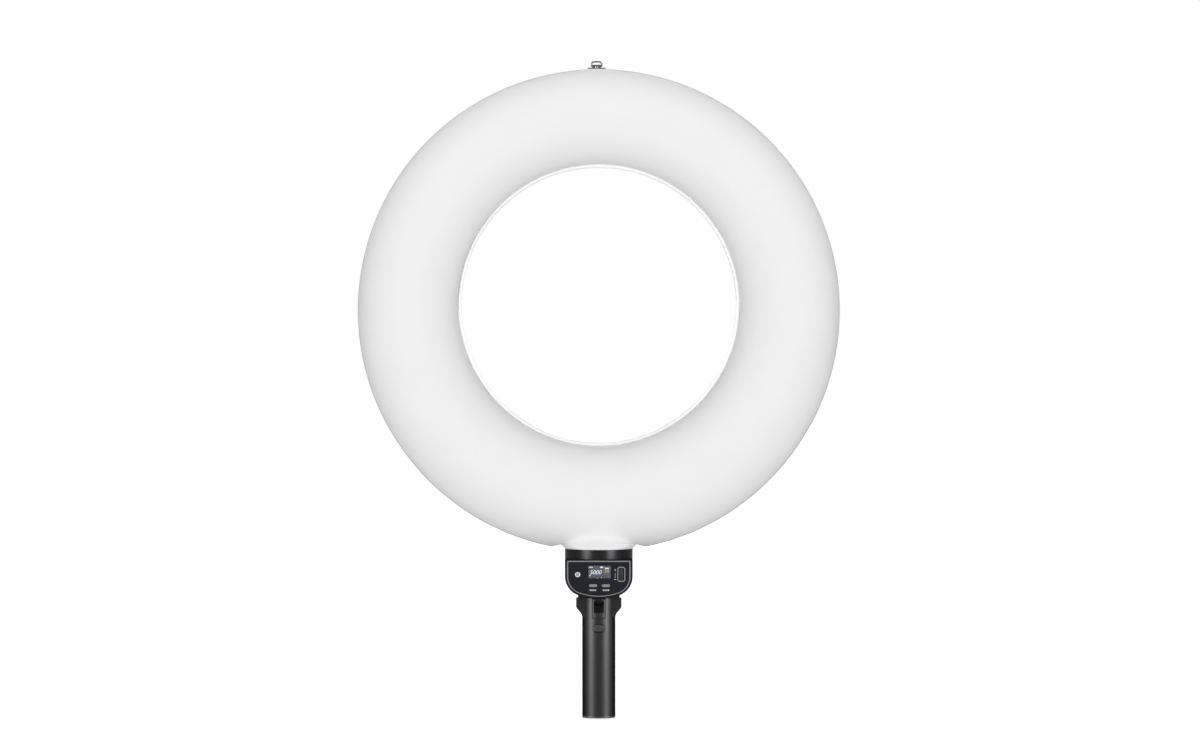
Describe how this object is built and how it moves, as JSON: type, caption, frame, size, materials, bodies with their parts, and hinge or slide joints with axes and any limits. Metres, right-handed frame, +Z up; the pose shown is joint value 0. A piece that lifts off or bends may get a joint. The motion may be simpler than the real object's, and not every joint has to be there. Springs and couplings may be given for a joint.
{
  "type": "led ring light",
  "caption": "Soft fabric-covered ring light on a black control head with a battery grip that takes a light stand, and a hanging ring on top.",
  "frame": {"origin": "middle of the grip's underside, at the mouth of the stand thread", "axes": "+Z up along the grip to the top of the ring, light shines towards -Y, +X is to the right as seen from the front"},
  "size_m": [0.482, 0.0948, 0.6564],
  "materials": {
    "white_fabric": "stretched fine knit, matt",
    "rear_fabric": "stretched fine knit, matt",
    "white_rim": "satin",
    "clear_frame": "natural",
    "spring_steel": "drawn wire",
    "frame_plastic": "moulded",
    "channel_aluminium": "satin",
    "board_white": "white solder mask",
    "warm_phosphor": "domed",
    "cool_phosphor": "domed",
    "white_saddle": "satin",
    "gloss_black": "high gloss",
    "satin_black": "fine satin",
    "panel_black": "satin gloss",
    "grey_trim": "satin",
    "display_glass": "clear",
    "display_body": "screen",
    "frame_black": "moulded",
    "board_green": "solder mask",
    "switch_steel": "plain",
    "dark_screw": "black oxide",
    "bright_steel": "nickel plated",
    "ferrite": "sintered",
    "capacitor_sleeve": "sleeve",
    "gold_contact": "plated",
    "grip_black": "fine satin",
    "cap_black": "satin",
    "thread_brass": "turned",
    "latch_black": "satin",
    "button_dark": "satin",
    "key_grey": "satin",
    "dial_rubber": "ribbed",
    "cable_sheath": "smooth",
    "connector_white": "moulded",
    "cell_wrap": "shrink wrap"
  },
  "bodies": {
    "light": {"front_diffuser": "white_fabric", "rear_cover": "rear_fabric", "hole_rim": "white_rim", "inner_frame_hoop": "clear_frame", "outer_frame_hoop": "spring_steel", "frame_ribs": "frame_plastic", "lamp_channel": "channel_aluminium", "lamp_board_upper_right": "board_white", "lamp_board_upper_left": "board_white", "lamp_board_lower_right": "board_white", "lamp_board_lower_left": "board_white", "warm_lamps": "warm_phosphor", "cool_lamps": "cool_phosphor", "neck_saddle": "white_saddle", "head_collar": "gloss_black", "neck_bracket": "frame_plastic", "lamp_cable": "cable_sheath", "cable_plugs": "connector_white", "hanger_plate": "bright_steel", "hanger_block": "frame_plastic", "hanger_rivets": "bright_steel", "head_front_shell": "satin_black", "head_rear_shell": "satin_black", "shell_screws": "dark_screw", "face_trim": "grey_trim", "face_panel": "panel_black", "display_window": "display_glass", "display_module": "display_body", "dial_bezel": "grey_trim", "dial_bracket": "frame_black", "dial_axle": "bright_steel", "control_board": "board_green", "tact_switches": "switch_steel", "driver_board": "board_green", "board_screws": "dark_screw", "heat_sink": "channel_aluminium", "inductors": "ferrite", "capacitors": "capacitor_sleeve", "usb_socket": "bright_steel", "dock_plug": "frame_black", "dock_contacts": "gold_contact", "frame_screws": "dark_screw", "dock_receptacle": "frame_black", "grip_shell": "grip_black", "latch_pin": "bright_steel", "grip_end_cap": "cap_black", "stand_insert": "thread_brass", "latch_spring": "spring_steel", "battery_cradle": "frame_black", "battery_cell": "cell_wrap", "battery_spring": "spring_steel", "battery_board": "board_green"},
    "latch": {"latch_lever": "latch_black"},
    "power": {"power_button": "button_dark"},
    "left_key": {"key_left": "key_grey"},
    "right_key": {"key_right": "key_grey"},
    "dial": {"dial_wheel": "dial_rubber"},
    "ring": {"hang_ring": "bright_steel"}
  },
  "joints": [
    {"name": "latch_rock", "type": "hinge", "parent": "light", "child": "latch", "pos_m": [0, -0.0122, 0.097], "axis": [1, 0, 0], "range_deg": [0, 7], "stiffness_Nm_per_rad": 0.25, "springref_deg": -5.73, "deforming": ["latch_spring"]},
    {"name": "power_press", "type": "slide", "parent": "light", "child": "power", "axis": [0, 1, 0], "range_m": [0, 0.0006], "stiffness_N_per_m": 800, "springref_m": -0.001},
    {"name": "left_key_press", "type": "slide", "parent": "light", "child": "left_key", "axis": [0, 1, 0], "range_m": [0, 0.0006], "stiffness_N_per_m": 800, "springref_m": -0.001},
    {"name": "right_key_press", "type": "slide", "parent": "light", "child": "right_key", "axis": [0, 1, 0], "range_m": [0, 0.0006], "stiffness_N_per_m": 800, "springref_m": -0.001},
    {"name": "dial_turn", "type": "hinge", "parent": "light", "child": "dial", "pos_m": [0.0223, -0.0363, 0.145], "axis": [1, 0, 0], "continuous": true},
    {"name": "ring_swing", "type": "hinge", "parent": "light", "child": "ring", "pos_m": [-0.0022, 0, 0.651], "axis": [1, 0, 0], "range_deg": [-80, 80]}
  ]
}
